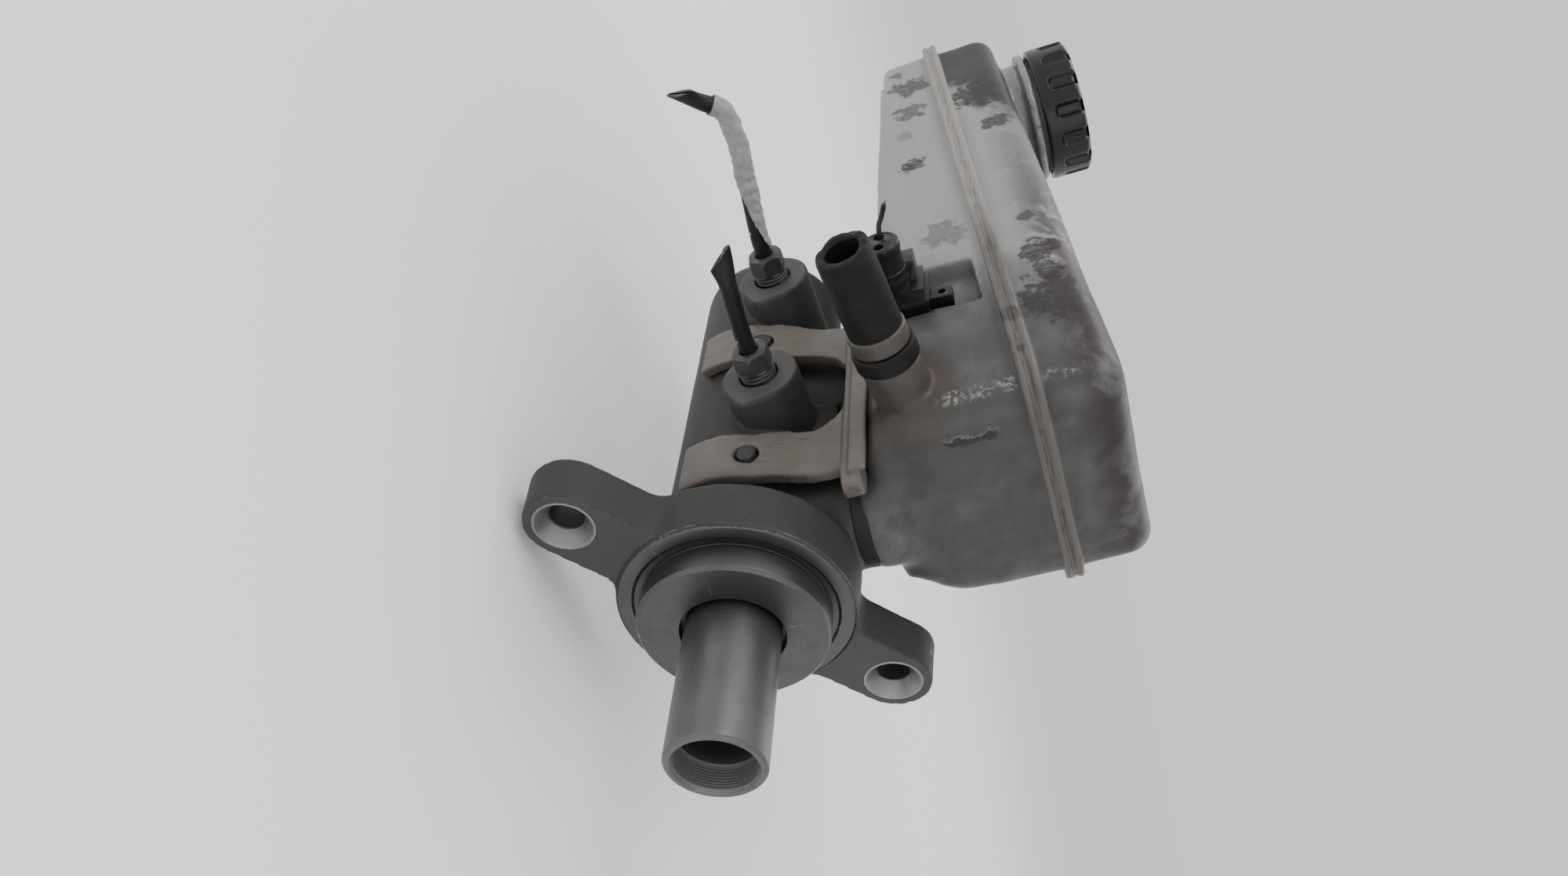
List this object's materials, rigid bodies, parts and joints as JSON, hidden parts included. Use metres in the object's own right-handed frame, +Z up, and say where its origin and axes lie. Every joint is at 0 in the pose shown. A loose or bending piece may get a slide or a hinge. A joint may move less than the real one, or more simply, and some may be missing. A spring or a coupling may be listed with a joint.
{
  "type": "tandem brake master cylinder",
  "caption": "Cast tandem master cylinder with a flange, twin outlets with cut pipes, spring-returned pistons, and a translucent fluid tank with screw cap and level sensor.",
  "frame": {"origin": "on the bore axis, in the plane of the flange's lug faces", "axes": "+X along the bore from the flange to the closed end, +Z up to the fluid tank, +Y towards the side with the two outlets"},
  "size_m": [0.269, 0.1325, 0.1448],
  "materials": {
    "cast_body": "dark sand-cast aluminium, matte",
    "machined": "turned and lightly worn aluminium",
    "steel": "zinc plated steel, dulled",
    "coated_steel": "black coated steel pipe",
    "tank_plastic": "translucent milky polypropylene, stained",
    "nylon": "natural nylon, slightly soiled",
    "rubber": "black rubber",
    "black_plastic": "black moulded plastic, satin",
    "label_paper": "creased white paper tape",
    "brass_pin": "tinned brass terminals",
    "sleeve_plastic": "pale grey plastic ring",
    "spring_steel": "spring steel wire"
  },
  "bodies": {
    "housing": {"cylinder_body": "cast_body", "guide_bush": "black_plastic", "vacuum_seal": "rubber", "primary_cup_seal": "rubber", "secondary_cup_seal": "rubber", "grommet_rear": "rubber", "grommet_front": "rubber", "reservoir_lower_shell": "tank_plastic", "reservoir_upper_shell": "tank_plastic", "strap_saddle": "nylon", "filler_strainer": "nylon", "clutch_hose_stub": "rubber", "hose_sleeve": "sleeve_plastic", "hose_collar": "rubber", "level_sensor": "black_plastic", "sensor_terminals": "brass_pin", "sensor_wire": "black_plastic", "pipe_nut_rear": "steel", "pipe_nut_front": "steel", "brake_pipe_rear": "coated_steel", "brake_pipe_front": "coated_steel", "pipe_label": "label_paper"},
    "primary_plunger": {"primary_piston": "machined", "guide_pin": "steel", "primary_spring": "spring_steel"},
    "secondary_plunger": {"secondary_piston": "machined", "piston_seal": "rubber", "guide_sleeve": "steel", "secondary_spring": "spring_steel"},
    "float": {"level_float": "nylon", "float_magnet": "black_plastic"},
    "cap_lift": {"cap_seal": "rubber"},
    "cap": {"filler_cap": "black_plastic"}
  },
  "joints": [
    {"name": "primary_stroke", "type": "slide", "parent": "housing", "child": "primary_plunger", "axis": [1, 0, 0], "range_m": [0, 0.03], "stiffness_N_per_m": 1500, "springref_m": -0.02, "deforming": ["primary_spring"]},
    {"name": "secondary_stroke", "type": "slide", "parent": "housing", "child": "secondary_plunger", "axis": [1, 0, 0], "range_m": [0, 0.015], "deforming": ["secondary_spring"]},
    {"name": "float_rise", "type": "slide", "parent": "housing", "child": "float", "axis": [0.1028, 0, 0.9947], "range_m": [0, 0.01]},
    {"name": "cap_rise", "type": "slide", "parent": "housing", "child": "cap_lift", "axis": [0.1028, 0, 0.9947], "range_m": [0, 0.006]},
    {"name": "cap_turn", "type": "hinge", "parent": "cap_lift", "child": "cap", "pos_m": [0.20161, 0.004, 0.09578], "axis": [0.1028, 0, 0.9947], "range_deg": [0, 540]}
  ],
  "couplings": [
    {"joint": "secondary_stroke", "follows": "primary_stroke", "ratio": 0.5},
    {"joint": "cap_rise", "follows": "cap_turn", "m_per_rad": 0.00063662}
  ]
}
